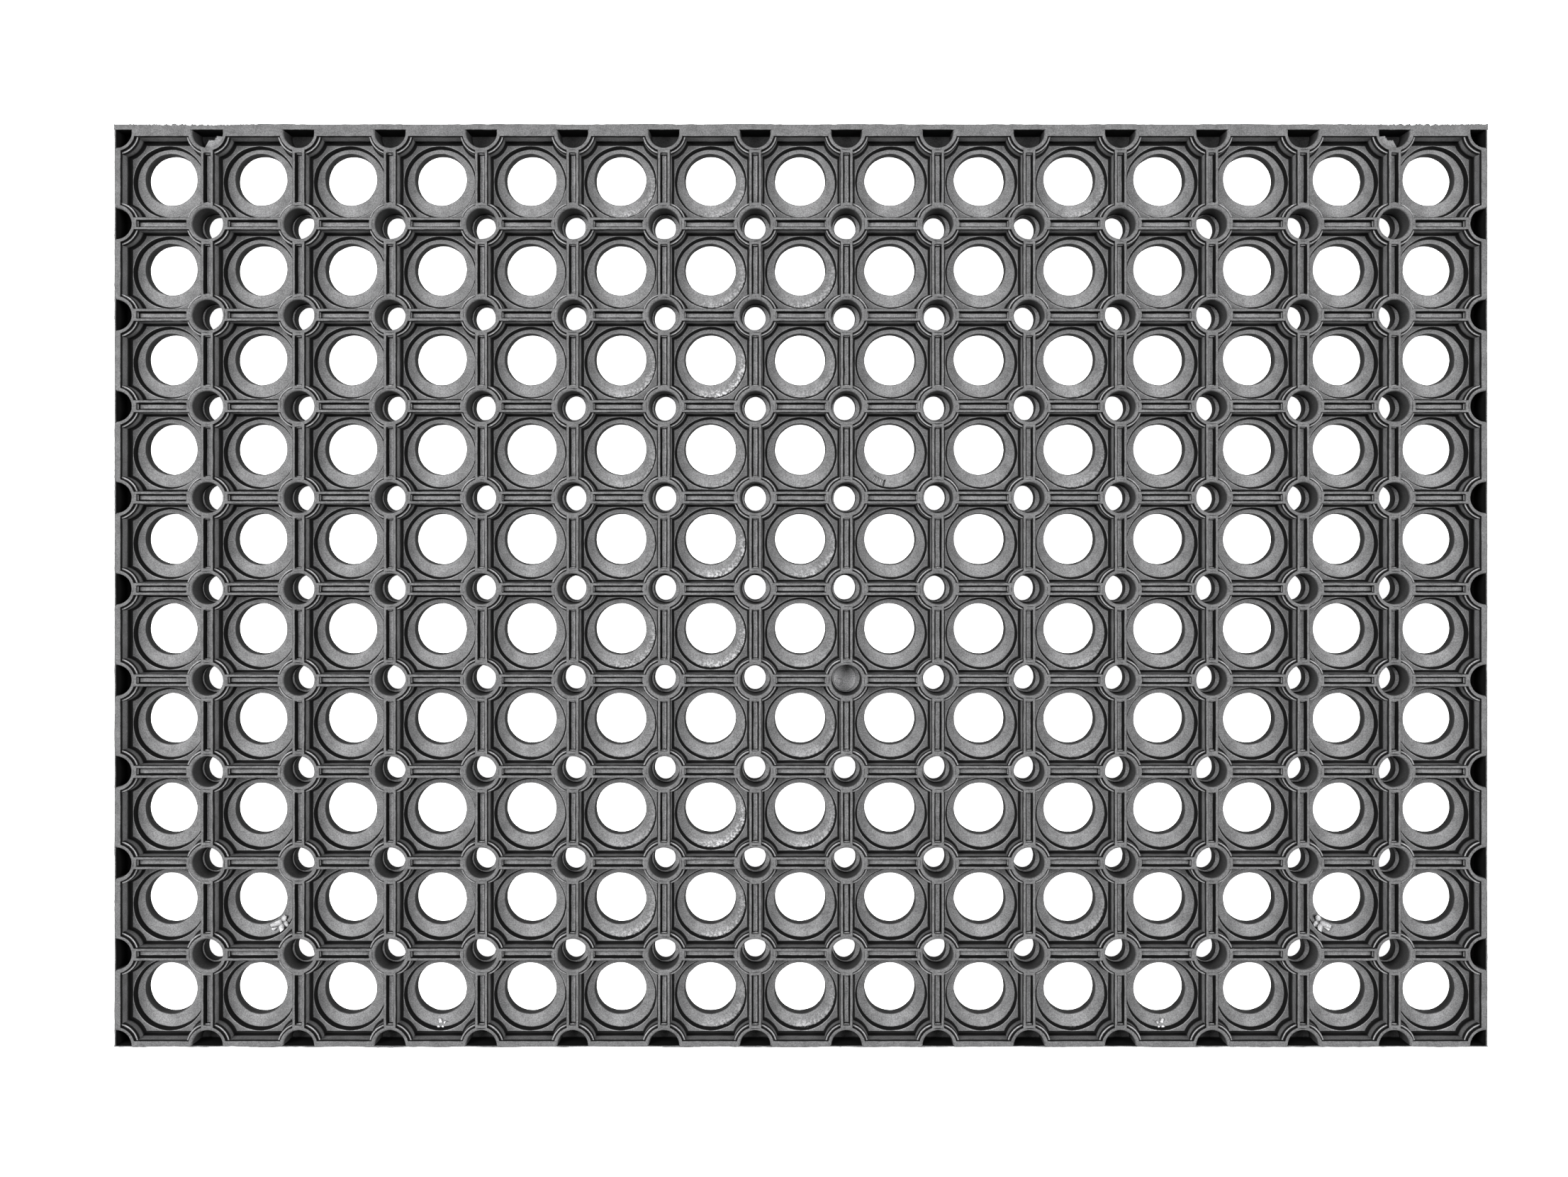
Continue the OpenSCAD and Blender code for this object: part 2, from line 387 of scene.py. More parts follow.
def face_wear_and_glint(verts):
    """Bright rubbed patches on the faces' front right side, mostly in columns 6 to 8 and 11. Their
    brightness is partly wear and partly painted glints, where faces near the mat's middle reflect
    the light.
    """
    column = (verts[:, 0] - FIRST_X) / PITCH + 2
    row = (FIRST_Y - verts[:, 1]) / PITCH + 2
    i, j = np.floor(column), np.floor(row)
    x, y = (column - i - 0.5) * PITCH, (j + 0.5 - row) * PITCH
    radius, turn = np.hypot(x, y), np.degrees(np.arctan2(y, x))
    front_right, spread, inner_radius = -45, 60, 12
    arc = np.clip(1.5 - np.abs(turn - front_right) / spread, 0, 1)
    arc *= np.clip((radius - inner_radius) / 2, 0, 1)
    on_face = (radius < FACE_R) & (verts[:, 2] > PAN_Z) & (verts[:, 2] < FACE_Z + 0.3)
    middle_columns = np.exp(-((i - 7) ** 2) / 1.6) + 0.35 * np.exp(-((i - 11) ** 2) / 0.8)
    uneven_rows = 0.6 + 0.4 * np.sin(2.3 * j + 1.1 * i)
    return arc * on_face * middle_columns * uneven_rows


# A tongue's section: place across as a share of half its width, height, share of its tone. Its
# edges and its underside are painted dark, as shade.
TONGUE_SECTION = (
    (-1.0, 0.0, 0.02),
    (-0.8, 0.2, 1.0),
    (0.0, 0.3, 1.0),
    (0.75, 0.2, 0.5),
    (1.0, 0.0, 0.02),
    (0.0, -0.25, 0.2),
)


def tongue(length, width, z, curl, tone, seed):
    """A torn tongue of rubber along +X that curls up from height z."""
    rng = np.random.default_rng(seed)
    loops = []
    for share in np.linspace(0, 1, 8):
        turn = curl * share
        x = length * math.sin(turn) / curl
        height = z + length * (1 - math.cos(turn)) / curl
        half = width * (0.5 - 0.22 * share**2) + rng.uniform(-0.15, 0.15)
        # painted shade: the tongue is darker near its root
        shade = tone * rng.uniform(0.75, 1.0) * min(1.0, 0.1 + 4 * share)
        lean = np.array([-math.sin(turn), math.cos(turn)])
        points = []
        for across, thick, light in TONGUE_SECTION:
            y = half * across + rng.uniform(-0.08, 0.08)
            points.append((x + lean[0] * thick, y, height + lean[1] * thick, shade * light))
        loops.append(points)
    return np.array(loops), False


# Tongues of torn rubber: x and y from the cell's middle, heading in degrees, length, width,
# curl, tone. The first set stands at the edge of a drain hole, the second at the front of a
# ring's face.
FLAP_TONGUES = (
    (9.2, -8.4, 200, 5.6, 3.0, 0.7, 4.0),
    (9.0, -8.0, 55, 3.6, 2.6, 0.8, 5.0),
    (8.4, -9.2, 285, 4.2, 2.8, 0.6, 5.0),
    (9.8, -8.2, 320, 4.0, 2.2, 1.2, 4.0),
    (7.2, -9.6, 225, 3.4, 2.0, 0.5, 5.0),
)
NICK_TONGUES = (
    (-1.2, -14.3, 268, 2.0, 1.5, 0.5, 5.0),
    (0.3, -14.5, 300, 2.2, 1.2, 0.7, 5.0),
    (-0.4, -13.6, 100, 2.8, 1.7, 0.9, 5.0),
    (1.0, -13.8, 60, 2.2, 1.0, 1.1, 5.0),
)


def torn(tongues, x, y, side, z, seed):
    """A set of tongues on the ring at x, y. Side is -1 for the mirrored set."""
    solids = []
    for k, (dx, dy, degrees, length, width, curl, tone) in enumerate(tongues):
        turn = math.radians(degrees if side > 0 else 180 - degrees)
        piece = tongue(length, width, z, curl, tone, seed + k)
        solids.append(placed(piece, x + side * dx, y + dy, turn))
    return solids


def ridges(x, y):
    """A few fine ridges that fan out over a ring's face, where the rubber was once cracked."""
    solids = []
    radius = 12.0
    for k, (degrees, tone) in enumerate(((236, 2.2), (243, 2.2), (250, 2.2), (257, 0.2))):
        turn = math.radians(degrees)
        piece = tongue(2.9, 0.9, FACE_Z - 0.25, 0.1, tone, 80 + k)
        solids.append(placed(piece, x + radius * math.cos(turn), y + radius * math.sin(turn), turn))
    return solids


def ring_damage(j, y):
    """Torn and cracked places on the rings of row j. Most come in mirrored pairs."""
    solids = []
    if j == 4:
        solids += ridges(line_x(8.5), y)
    if j == ROWS - 1:
        solids += torn(FLAP_TONGUES, line_x(1.5), y, 1, FACE_Z, 40)
        solids += torn(FLAP_TONGUES, line_x(COLS - 1.5), y, -1, FACE_Z, 40)
    if j == ROWS:
        solids += torn(NICK_TONGUES, line_x(3.5), y, 1, FACE_Z - 0.1, 60)
        solids += torn(NICK_TONGUES, line_x(COLS - 3.5), y, -1, FACE_Z - 0.1, 60)
    return solids


def make_ring_rows(material):
    cup = ring_cup()
    for j in range(1, ROWS + 1):
        y = line_y(j - 0.5)
        solids = [placed(cup, line_x(i - 0.5), y) for i in range(1, COLS + 1)]
        solids += ring_damage(j, y)
        name = f"{j:02d}"
        nodes = ["ring_row_" + name]
        add_piece("drain_rings_row_" + name, solids, material, nodes, face_wear_and_glint)


# ---------------------------------------------------------------- sleeves

# Outside of a sleeve from the foot up to the lip, then the mouth and the tapered upper bore:
# radius, height, tone. The tones paint shade, black at the barrel's foot and top, at the lip's edge
# and deeper down the bore, and paint a highlight on the ledge round the lip.
SLEEVE_OUTSIDE = (
    (FOOT_R - 0.25, 0.0, 1.0),
    (FOOT_R - 0.02, 0.25, 0.9),
    (FOOT_R, PAN_Z - 0.4, 0.8),
    (FOOT_R + 0.3, PAN_Z + 0.08, 0.8),
    (SLEEVE_FOOT_R - 0.2, PAN_Z + 0.08, 0.8),
    (SLEEVE_FOOT_R, PAN_TOP, DARK),
    (SLEEVE_R + 0.2, 12.8, 0.02),
    (SLEEVE_R + 0.16, 14.4, WALL_TONE),
    (SLEEVE_R + 0.09, 17.0, WALL_TONE),
    (SLEEVE_R + 0.06, 18.2, 0.02),
    (SLEEVE_R + 0.02, LEDGE_Z - 0.3, 0.02),
    (SLEEVE_R - 0.05, LEDGE_Z - 0.1, 0.1),
    (SLEEVE_R - 0.22, LEDGE_Z, 1.7),
    (LIP_R + 0.6, LEDGE_Z - 0.02, 1.4),
    (LIP_R + 0.46, LEDGE_Z, 0.1),
    (LIP_R + 0.12, LEDGE_Z + 0.1, DARK),
    (LIP_R, LIP_TOP - 0.25, DARK),
    (LIP_R - 0.07, LIP_TOP - 0.07, 0.06),
    (LIP_R - 0.26, LIP_TOP, 0.78),
)
SLEEVE_MOUTH = (
    (7.5, LIP_TOP, LAND_EDGE_TONE),
    (7.3, LIP_TOP - 0.06, 0.8),
    (7.08, LIP_TOP - 0.25, 1.0),
    (6.85, LIP_TOP - 0.6, 1.0),
    (6.7, LIP_TOP - 1.1, 0.7),
    (6.6, LIP_TOP - 1.9, 0.3),
    (6.45, 14.0, 0.22),
    (6.36, BORE_Z + 1.5, 0.12),
    (6.28, BORE_Z + 0.25, DARK),
)


def lower_bore_loop(angles, grow, z, tone, centre):
    """An ellipse round the lower bore, larger than it by grow."""
    loop = circle_loop(angles, 1.0, z, tone)
    loop[:, 0] = centre[0] + (BORE_RX + grow) * loop[:, 0]
    loop[:, 1] = centre[1] + (BORE_RY + grow) * loop[:, 1]
    return loop


def sleeve(bore_centre):
    """A sleeve at a crossing: foot, barrel, ledge, lip, tapered mouth, step and lower bore."""
    angles = np.linspace(0, 2 * math.pi, SLEEVE_STEPS, endpoint=False)
    loops = [circle_loop(angles, *ring) for ring in SLEEVE_OUTSIDE + SLEEVE_MOUTH]
    # painted highlight on the step, painted shade at the lower bore's edge and down its wall
    loops.append(circle_loop(angles, 6.15, BORE_Z + 0.02, 0.2))
    loops.append(circle_loop(angles, 6.0, BORE_Z, 1.8))
    loops.append(lower_bore_loop(angles, 0.3, BORE_Z, 1.8, bore_centre))
    loops.append(lower_bore_loop(angles, 0.1, BORE_Z - 0.04, 0.05, bore_centre))
    loops.append(lower_bore_loop(angles, 0.0, 0.3, 0.1, bore_centre))
    loops.append(lower_bore_loop(angles, 0.2, 0.0, 0.5, bore_centre))
    return np.stack(loops), True


def make_sleeve_rows(material):
    rng = np.random.default_rng(5)
    stray = 0.2  # how far a lower bore may lie from its mean place
    for j in range(1, ROWS):
        solids = []
        for i in range(1, COLS):
            x = BORE_OFFSET[0] + rng.uniform(-stray, stray)
            y = BORE_OFFSET[1] + rng.uniform(-stray, stray)
            solids.append(placed(sleeve((x, y)), line_x(i), line_y(j)))
        name = f"{j:02d}"
        add_piece("sleeves_row_" + name, solids, material, ["sleeve_row_" + name])


def partial_sleeve(sweep, back_a, back_b):
    """A blind sleeve at the border, which turns through sweep degrees. It starts at a plane
    back_a behind its middle and ends at one back_b behind it. Gives its wall and its floor."""
    steps = round(SLEEVE_STEPS * sweep / 360)
    # the bore below the step, painted darker as shade
    below = ((6.0, BORE_Z - 0.1, 0.4), (6.0, 0.3, 0.4), (6.2, 0.0, 0.5))
    profile = SLEEVE_OUTSIDE + SLEEVE_MOUTH + below
    radius = np.array([p[0] for p in profile])
    start = -np.arcsin(back_a / radius)
    end = math.radians(sweep) + np.arcsin(back_b / radius)
    height_tone = np.array([p[1:] for p in profile])
    loops = []
    for share in np.linspace(0, 1, steps + 1):
        turn = start + share * (end - start)
        xy = np.stack([radius * np.cos(turn), radius * np.sin(turn)], axis=1)
        loops.append(np.concatenate([xy, height_tone], axis=1))
    corner_x = 0.0 if sweep == 180 else -back_b
    floor = []
    # radius, height, tone; the blind floor is painted darker, as shade
    floor_rings = (
        (BLIND_R - 0.22, 0.5, 0.4),
        (BLIND_R, BORE_Z - 0.4, 0.3),
        (BLIND_R, BORE_Z, 0.3),
        (3.0, BORE_Z, 0.4),
    )
    for reach, z, tone in floor_rings:
        first = -math.asin(back_a / reach)
        last = math.radians(sweep) + math.asin(back_b / reach)
        turn = np.linspace(first, last, steps + 1)
        arc = circle_loop(turn, reach, z, tone)
        corner = np.array([[corner_x * reach / BLIND_R, -back_a, z, tone]])
        floor.append(np.concatenate([arc, corner]))
    return [(np.stack(loops), False), (np.stack(floor), False)]


def torn_membrane(side):
    """The torn rest of a thin membrane across a back half sleeve, towards the mat's middle."""
    rng = np.random.default_rng(31)
    turn = np.radians(np.linspace(-118, -8, 23))
    bore_radius, torn_radius, raggedness = 6.6, 2.4, 0.25
    outer = circle_loop(turn, bore_radius, 0, 1.0)
    inner = circle_loop(turn[::-1], 1.0, 0, 1.0)
    inner[:, :2] *= (torn_radius + rng.uniform(-raggedness, raggedness, len(turn)))[:, None]
    patch = np.concatenate([outer, inner])
    patch[:, 0] *= side
    loops = []
    for z, tone in ((14.6, 0.9), (15.0, 1.5)):
        loop = patch.copy()
        loop[:, 2] = z + rng.uniform(-0.1, 0.1, len(loop))
        loop[:, 3] = tone
        loops.append(loop)
    return np.stack(loops), False


def make_border_sleeves(material):
    side_back = EDGE_MARGIN - SKIN + LAP
    back_back = BACK_MARGIN - BACK_SKIN + LAP
    quarter = math.pi / 2
    half_side = partial_sleeve(180, side_back, side_back)
    half_back = partial_sleeve(180, back_back, back_back)
    columns, rows = range(1, COLS), range(1, ROWS)
    sides = {
        "front": (half_side, [(line_x(i), line_y(ROWS), 0) for i in columns]),
        "right": (half_side, [(line_x(COLS), line_y(j), quarter) for j in rows]),
        "back": (half_back, [(line_x(i), line_y(0), 2 * quarter) for i in columns]),
        "left": (half_side, [(line_x(0), line_y(j), -quarter) for j in rows]),
    }
    for side, (pair, places) in sides.items():
        solids = [placed(solid, *place) for place in places for solid in pair]
        if side == "back":
            solids.append(placed(torn_membrane(1), line_x(1), line_y(0)))
            solids.append(placed(torn_membrane(-1), line_x(COLS - 1), line_y(0)))
        name, nodes = f"{side}_half_sleeve_set", [f"{side}_half_sleeves"]
        add_piece(name, solids, material, nodes)
    corners = (
        (partial_sleeve(90, side_back, side_back), line_x(0), line_y(ROWS), 0),
        (partial_sleeve(90, side_back, side_back), line_x(COLS), line_y(ROWS), quarter),
        (partial_sleeve(90, back_back, side_back), line_x(COLS), line_y(0), 2 * quarter),
        (partial_sleeve(90, side_back, back_back), line_x(0), line_y(0), -quarter),
    )
    solids = [placed(solid, x, y, turn) for pair, x, y, turn in corners for solid in pair]
    add_piece("corner_sleeve_set", solids, material, ["corner_quarter_sleeves"])


def make_closed_sleeve(material):
    """The thin web left in one sleeve's lower bore, with a small round mould mark on it."""
    angles = np.linspace(0, 2 * math.pi, SLEEVE_STEPS, endpoint=False)
    low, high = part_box("closed_sleeve_web")
    x, y = (low[0] + high[0]) / 2 / MM, (low[1] + high[1]) / 2 / MM
    # radius, height, tone: painted shade, black round the web's rim, and painted light on the web
    # itself, which sits deep in the bore
    rings = (
        (5.2, 6.2, 0.4),
        (6.0, 6.4, 0.4),
        (6.0, 7.3, 0.02),
        (5.75, 7.36, 0.02),
        (5.55, 7.4, 3.2),
        (2.4, 7.4, 3.2),
    )
    floor = np.stack([circle_loop(angles, *ring) for ring in rings])
    # the mark's foot is painted black as shade, and its top has a painted highlight
    mark_rings = (
        (1.7, 7.3, 0.02),
        (1.6, 7.5, 0.05),
        (1.45, 7.6, 3.6),
        (1.2, 7.6, 3.6),
        (1.05, 7.5, 0.1),
        (1.0, 7.3, 0.05),
    )
    mark = np.stack([circle_loop(angles, *ring) for ring in mark_rings])
    mark_x, mark_y = x - 2.3, y - 1.6
    solids = [placed((floor, False), x, y), placed((mark, True), mark_x, mark_y)]
    add_piece("closed_sleeve_floor", solids, material, ["closed_sleeve_web"])


# ---------------------------------------------------------------- webs

# Half of a web's section in its grooved stretch, from the groove's middle outwards:
# distance from the middle, depth below the top, tone. The tones paint shade: black down the
# groove's walls, at the land's edges and at the top and foot of the web's sides, with a lighter
# band between.
WEB_SECTION = (
    (0.0, SLOT_D, 1.0),
    (SLOT_FLOOR_HALF - 0.28, SLOT_D, 1.0),
    (SLOT_FLOOR_HALF - 0.12, SLOT_D - 0.02, 0.03),
    (SLOT_FLOOR_HALF + 0.03, SLOT_D - 0.25, 0.0),
    (SLOT_HALF - 0.05, 0.3, 0.0),
    (SLOT_HALF + 0.03, 0.06, 0.03),
    (SLOT_HALF + 0.18, 0.0, LAND_EDGE_TONE),
    (SLOT_HALF + 0.35, 0.0, LAND_TONE),
    (LAND_HALF - 0.35, 0.0, LAND_TONE),
    (LAND_HALF - 0.22, 0.01, LAND_EDGE_TONE),
    (LAND_HALF - 0.06, 0.08, 0.05),
    (LAND_HALF + 0.04, 0.4, 0.0),
    (LAND_HALF + 0.08, 1.9, DARK),
    (LAND_HALF + 0.14, 3.0, 0.9),
    (LAND_HALF + 0.22, 6.6, WALL_TONE),
    (LAND_HALF + 0.3, 8.4, 0.03),
    (WALL_HALF, MAT_T - PAN_TOP, DARK),
    (WALL_HALF, MAT_T - PAN_Z - 0.25, 0.8),
    (WALL_HALF - 0.5, MAT_T - PAN_Z - 0.1, 0.9),
)


def web(rng, floor_tone):
    """A web along X between two sleeves, with the groove along its top."""
    half = np.array(WEB_SECTION)
    half[:2, 2] = floor_tone
    section = np.concatenate([half[:0:-1] * [-1, 1, 1], half])
    in_slot = np.abs(section[:, 0]) < SLOT_HALF + 0.1
    solid_top = section.copy()
    solid_top[in_slot, 1] = 0
    solid_top[in_slot, 2] = LAND_TONE
    # where the groove ends, its section is painted dark with shade
    slot_foot = section.copy()
    slot_foot[in_slot, 2] = 0.05
    slot_reach = HALF - SLOT_END
    end = np.sqrt(WEB_REACH**2 - np.minimum(np.abs(section[:, 0]), WALL_HALF) ** 2)
    stations = [(end - HALF, solid_top), (-slot_reach - 0.2, solid_top)]
    stations += [(-slot_reach - 0.02, solid_top), (-slot_reach + 0.3, slot_foot)]
    stations += [(x, section) for x in np.linspace(-slot_reach + 1.2, slot_reach - 1.2, 11)]
    stations += [(slot_reach - 0.3, slot_foot), (slot_reach + 0.02, solid_top)]
    stations += [(slot_reach + 0.2, solid_top), (HALF - end, solid_top)]
    loops = []
    for x, shape in stations:
        across, depth, tone = shape.T
        outside = np.abs(across) > SLOT_HALF + 0.3
        wavering = across + outside * rng.normal(0, 0.035, len(across))
        x = np.broadcast_to(x, across.shape)
        loops.append(np.stack([x, wavering, MAT_T - depth, tone], axis=1))
    return np.stack(loops), False


def make_webs(material):
    rng = np.random.default_rng(8)
    for j in range(1, ROWS):
        places = [(line_x(i - 0.5), line_y(j)) for i in range(1, COLS + 1)]
        solids = [placed(web(rng, LONG_GROOVE_TONE), *place) for place in places]
        name = f"{j:02d}"
        add_piece("long_webs_row_" + name, solids, material, ["long_web_row_" + name])
    tone_middle, tone_end = CROSS_GROOVE_TONES
    for i in range(1, COLS):
        places = [(line_x(i), line_y(j - 0.5), math.pi / 2) for j in range(1, ROWS + 1)]
        # painted light: groove floors lighter towards the mat's middle
        floor_tone = tone_middle + (tone_end - tone_middle) * abs(i - COLS / 2) / (COLS / 2)
        solids = [placed(web(rng, floor_tone), *place) for place in places]
        name = f"{i:02d}"
        nodes = ["cross_web_column_" + name]
        add_piece("cross_webs_column_" + name, solids, material, nodes)


# ---------------------------------------------------------------- border


def border_section(out, land, wall, shade, dark):
    """A border wall's section: distance inwards from the outline, height, tone. Shade is the
    tone of its inner side, and dark the painted shade at that side's top and foot."""
    return np.array([
        (out + 0.25, 0.0, 0.4),
        (out + 0.03, 0.25, 0.25),
        (out, 6.0, 0.3),
        (out, 14.0, 0.3),
        (out, MAT_T - 0.9, 0.32),
        (out + 0.06, MAT_T - 0.25, 0.5),
        (out + 0.25, MAT_T - 0.02, 0.7),
        (out + 0.45, MAT_T, LAND_TONE),
        (land - 0.3, MAT_T, LAND_EDGE_TONE),
        (land - 0.12, MAT_T - 0.03, LAND_TONE),
        (land, MAT_T - 0.15, 0.06),
        (land + 0.04, MAT_T - 0.4, dark),
        (land + 0.08, MAT_T - 1.9, dark),
        (land + 0.16, MAT_T - 3.0, shade),
        (wall - 0.16, MAT_T - 6.6, shade),
        (wall - 0.1, MAT_T - 8.4, dark),
        (wall, PAN_TOP, dark),
        (wall, PAN_Z + 0.2, 0.3),
        (wall, 3.0, 0.3),
        (wall - 0.03, 0.25, 0.3),
        (wall - 0.25, 0.0, 0.4),
    ])


def border(start, end, centres, land, wall, skin, outline, spacing=1.3):
    """A border bar along X from start to end. It thins down to its skin at each half sleeve.
    Its loops stand about one spacing apart."""
    stops = sorted({start, end, *(c + side * WEB_REACH for c in centres for side in (-1, 1))})
    stops = [stop for stop in stops if start <= stop <= end]
    loops = []
    for a, b in zip(stops, stops[1:]):
        thin = any(abs((a + b) / 2 - c) < WEB_REACH for c in centres)
        steps = max(2, round((b - a) / spacing))
        for x in np.linspace(a, b, steps + 1):
            # beside a half sleeve the skin's inner side is painted black as shade; elsewhere only
            # its top and foot are
            if thin:
                section = border_section(outline(x), skin, skin + 0.3, DARK, DARK)
            else:
                section = border_section(outline(x), land, wall, 0.85, 0.0)
            loops.append(np.insert(section, 0, x, axis=1))
    return np.stack(loops), False


def wave_at(x, length, seed):
    """The unevenness at one place along a line."""
    return float(waves(np.array([x]), np.array([0.0]), length, seed)[0])


def front_outline(x):
    """How far the front border's outline lies inside the CAD box at x."""
    return 0.2 + 0.2 * wave_at(x, 30, 21) + 0.06 * wave_at(x, 4, 22)


def side_outline(x):
    """The same for the left and right borders."""
    return 0.12 + 0.1 * wave_at(x, 30, 23) + 0.04 * wave_at(x, 4, 24)


def back_outline(x):
    """The back edge is trimmed by hand: small teeth near both ends, smoother in between."""
    teeth_middle, teeth_reach = RIGHT - 28, 45
    rough = max(0.0, 1 - abs(abs(x) - teeth_middle) / teeth_reach)
    teeth = abs(wave_at(abs(x), 2.2, 26)) + 0.7 * wave_at(abs(x), 1.3, 27)
    return 0.25 + 0.12 * wave_at(x, 40, 25) + 0.05 * wave_at(x, 5, 28) + 0.5 * rough * teeth


def add_border(name, bar, x, y, turn, material):
    """One border bar, moved from the X axis to its side of the mat."""
    add_piece(name + "_border", [placed(bar, x, y, turn)], material, [name + "_rim"])


def make_border(material):
    columns = [line_x(i) for i in range(COLS + 1)]
    rows = [line_y(j) for j in range(ROWS + 1)]
    side_wall = EDGE_MARGIN + LAND_HALF + 0.1
    back_wall = BACK_MARGIN + LAND_HALF
    side_sizes = (BORDER_LAND, side_wall, SKIN)
    back_sizes = (BACK_LAND, back_wall, BACK_SKIN)
    low, high = FRONT + SKIN, BACK - BACK_SKIN
    quarter = math.pi / 2
    front = border(LEFT, RIGHT, columns, *side_sizes, front_outline)
    add_border("front", front, 0, FRONT, 0, material)
    turned = [-x for x in columns]
    back = border(-RIGHT, -LEFT, turned, *back_sizes, lambda x: back_outline(-x), spacing=0.45)
    add_border("back", back, 0, BACK, 2 * quarter, material)
    right = border(low, high, rows, *side_sizes, side_outline)
    add_border("right", right, RIGHT, 0, quarter, material)
    turned = [-y for y in rows]
    left = border(-high, -low, turned, *side_sizes, lambda y: side_outline(1.3 * y))
    add_border("left", left, LEFT, 0, -quarter, material)


# ---------------------------------------------------------------- materials

CLOUD_SCALE = 180  # noise sizes, in cells per metre
GRAIN_SCALE = 1900
SPECK_SCALE = 1100
GLOSS_SCALE = 500
BUMP_SCALE = 2200
TOP_LEVEL = 5  # the brightness level at the light end of the colour ramp
DARK_RUBBER = (0.003, 0.003, 0.003)


def new_material(name):
    material = bpy.data.materials.new(name)
    material.use_nodes = True
    tree = material.node_tree
    return material, tree, tree.nodes["Principled BSDF"]


def noise(tree, coordinates, scale, detail=3.0):
    node = tree.nodes.new("ShaderNodeTexNoise")
    node.inputs["Scale"].default_value = scale
    node.inputs["Detail"].default_value = detail
    tree.links.new(coordinates, node.inputs["Vector"])
    return node.outputs["Fac"]


def mapped(tree, value, low, high, to_low, to_high):
    node = tree.nodes.new("ShaderNodeMapRange")
    node.inputs["From Min"].default_value = low
    node.inputs["From Max"].default_value = high
    node.inputs["To Min"].default_value = to_low
    node.inputs["To Max"].default_value = to_high
    tree.links.new(value, node.inputs["Value"])
    return node.outputs["Result"]


def combined(tree, operation, a, b):
    node = tree.nodes.new("ShaderNodeMath")
    node.operation = operation
    tree.links.new(a, node.inputs[0])
    tree.links.new(b, node.inputs[1])
    return node.outputs["Value"]


def attribute(tree, name):
    node = tree.nodes.new("ShaderNodeAttribute")
    node.attribute_name = name
    return node.outputs["Fac"]


def rubber(name, light):
    """Anthracite moulded rubber: fine grain, faint clouds, and bright specks where it is worn,
    which are partly painted glints of light. The tone of the mesh paints light and shade on it,
    lighter or darker, and makes it less glossy where it is dark."""
    material, tree, shader = new_material(name)
    coordinates = tree.nodes.new("ShaderNodeTexCoord").outputs["Object"]
    # painted light and shade, from the mesh's tone
    tone = attribute(tree, "tone")
    clouds = mapped(tree, noise(tree, coordinates, CLOUD_SCALE), 0.35, 0.65, 0.85, 1.12)
    grain = mapped(tree, noise(tree, coordinates, GRAIN_SCALE, 4), 0.3, 0.7, 0.62, 1.36)
    texture = combined(tree, "MULTIPLY", clouds, grain)
    level = combined(tree, "MULTIPLY", texture, tone)
    # worn specks, brightened partly as painted glints of light
    specks = mapped(tree, noise(tree, coordinates, SPECK_SCALE, 5), 0.47, 0.58, 0.2, 3.2)
    wear_and_glint_specks = combined(tree, "MULTIPLY", specks, attribute(tree, "wear_and_glint"))
    level = combined(tree, "ADD", level, wear_and_glint_specks)
    ramp = tree.nodes.new("ShaderNodeValToRGB")
    ramp.color_ramp.elements[0].position = 0.0
    ramp.color_ramp.elements[0].color = (*DARK_RUBBER, 1)
    ramp.color_ramp.elements[1].position = 1.0
    ramp.color_ramp.elements[1].color = (*light, 1)
    tree.links.new(mapped(tree, level, 0, TOP_LEVEL, 0, 1), ramp.inputs["Fac"])
    tree.links.new(ramp.outputs["Color"], shader.inputs["Base Color"])
    shader.inputs["Specular IOR Level"].default_value = 0.06
    gloss = mapped(tree, noise(tree, coordinates, GLOSS_SCALE), 0.3, 0.7, 0.46, 0.32)
    rough = mapped(tree, combined(tree, "MULTIPLY", gloss, tone), 0, 1, 0.85, 0.35)
    tree.links.new(rough, shader.inputs["Roughness"])
    bump = tree.nodes.new("ShaderNodeBump")
    bump.inputs["Strength"].default_value = 0.12
    bump.inputs["Distance"].default_value = 0.05 * MM
    tree.links.new(noise(tree, coordinates, BUMP_SCALE, 4), bump.inputs["Height"])
    tree.links.new(bump.outputs["Normal"], shader.inputs["Normal"])
    return material


def floor_material():
    material, tree, shader = new_material("pale_floor")
    shader.inputs["Base Color"].default_value = (0.9, 0.9, 0.9, 1)
    shader.inputs["Roughness"].default_value = 0.9
    shader.inputs["Emission Color"].default_value = (1, 1, 1, 1)
    shader.inputs["Emission Strength"].default_value = 1.0
    return material


# ---------------------------------------------------------------- stage, lights and camera


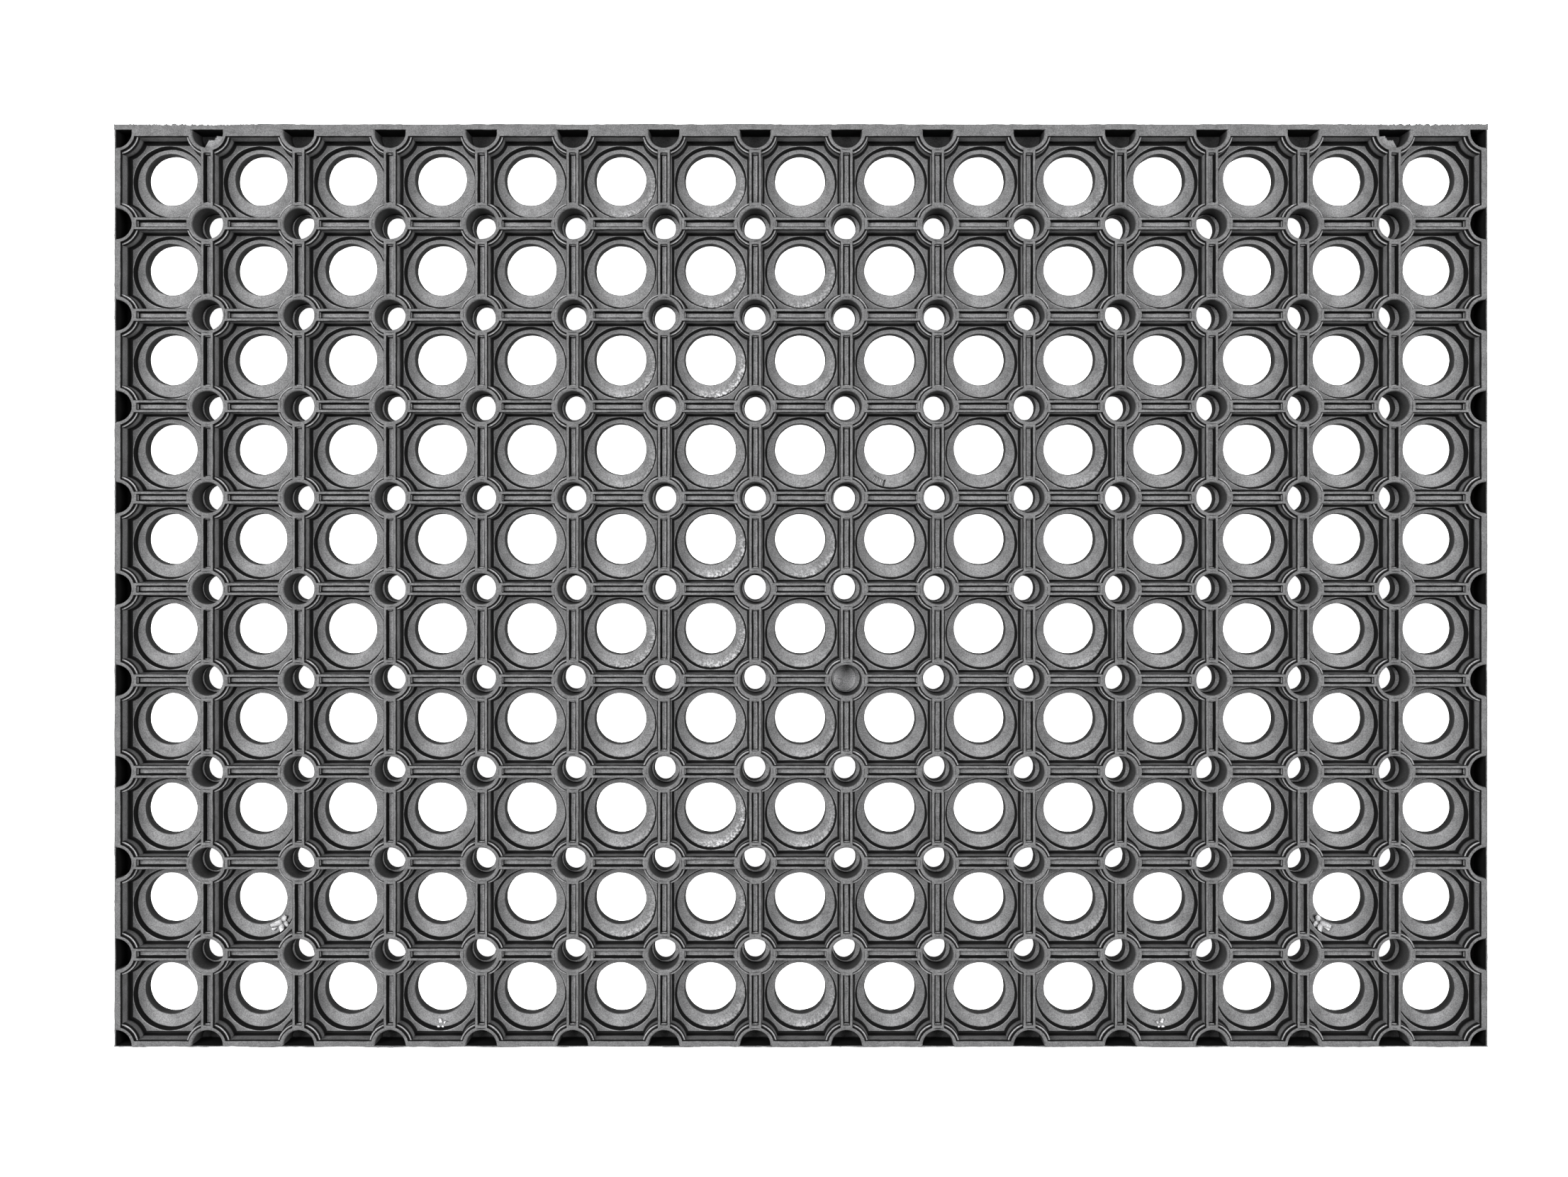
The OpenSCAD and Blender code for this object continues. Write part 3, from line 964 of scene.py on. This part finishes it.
def make_floor():
    half = 4.0
    low = -0.1 * MM  # just below the mat, so that the two never share a plane
    mesh = bpy.data.meshes.new("floor")
    corners = [(-half, -half, low), (half, -half, low), (half, half, low), (-half, half, low)]
    mesh.from_pydata(corners, [], [(0, 1, 2, 3)])
    mesh.materials.append(floor_material())
    floor = bpy.data.objects.new("floor", mesh)
    bpy.context.scene.collection.objects.link(floor)


def add_softbox(name, place, power):
    """A soft square light that faces the mat's middle."""
    light = bpy.data.lights.new(name, "AREA")
    light.size = 1.1
    light.energy = power
    lamp = bpy.data.objects.new(name, light)
    lamp.location = place
    aim = -lamp.location
    lamp.rotation_euler = aim.to_track_quat("-Z", "Y").to_euler()
    bpy.context.scene.collection.objects.link(lamp)


def make_lights():
    add_softbox("left_softbox", (-1.15, 0.35, 1.75), 100)
    add_softbox("right_softbox", (1.2, 0.2, 1.75), 76)
    world = bpy.data.worlds.new("studio")
    bpy.context.scene.world = world
    world.use_nodes = True
    background = world.node_tree.nodes["Background"]
    background.inputs["Color"].default_value = (1, 1, 1, 1)
    background.inputs["Strength"].default_value = 0.3


def make_camera():
    """Straight above the mat, with the frame shifted and not tilted, so the grid stays square."""
    height = 0.867
    view_width = 0.6845  # width of the frame at the height of the mat's top, in metres
    towards_back = 0.020
    data = bpy.data.cameras.new("camera")
    data.sensor_width = 36
    data.lens = data.sensor_width * height / view_width
    data.shift_x = -0.0108
    data.shift_y = -0.0311
    camera = bpy.data.objects.new("camera", data)
    camera.location = (0.0, towards_back, MAT_T * MM + height)
    bpy.context.scene.collection.objects.link(camera)
    bpy.context.scene.camera = camera


ring_material = rubber("ring_rubber", (0.5, 0.5, 0.507))
sleeve_material = rubber("sleeve_rubber", (0.48, 0.48, 0.487))
web_material = rubber("web_rubber", (0.48, 0.48, 0.487))
make_ring_rows(ring_material)
make_sleeve_rows(sleeve_material)
make_border_sleeves(sleeve_material)
make_closed_sleeve(sleeve_material)
make_webs(web_material)
make_border(web_material)
make_floor()
make_lights()
make_camera()
bpy.context.scene.view_settings.view_transform = "Standard"
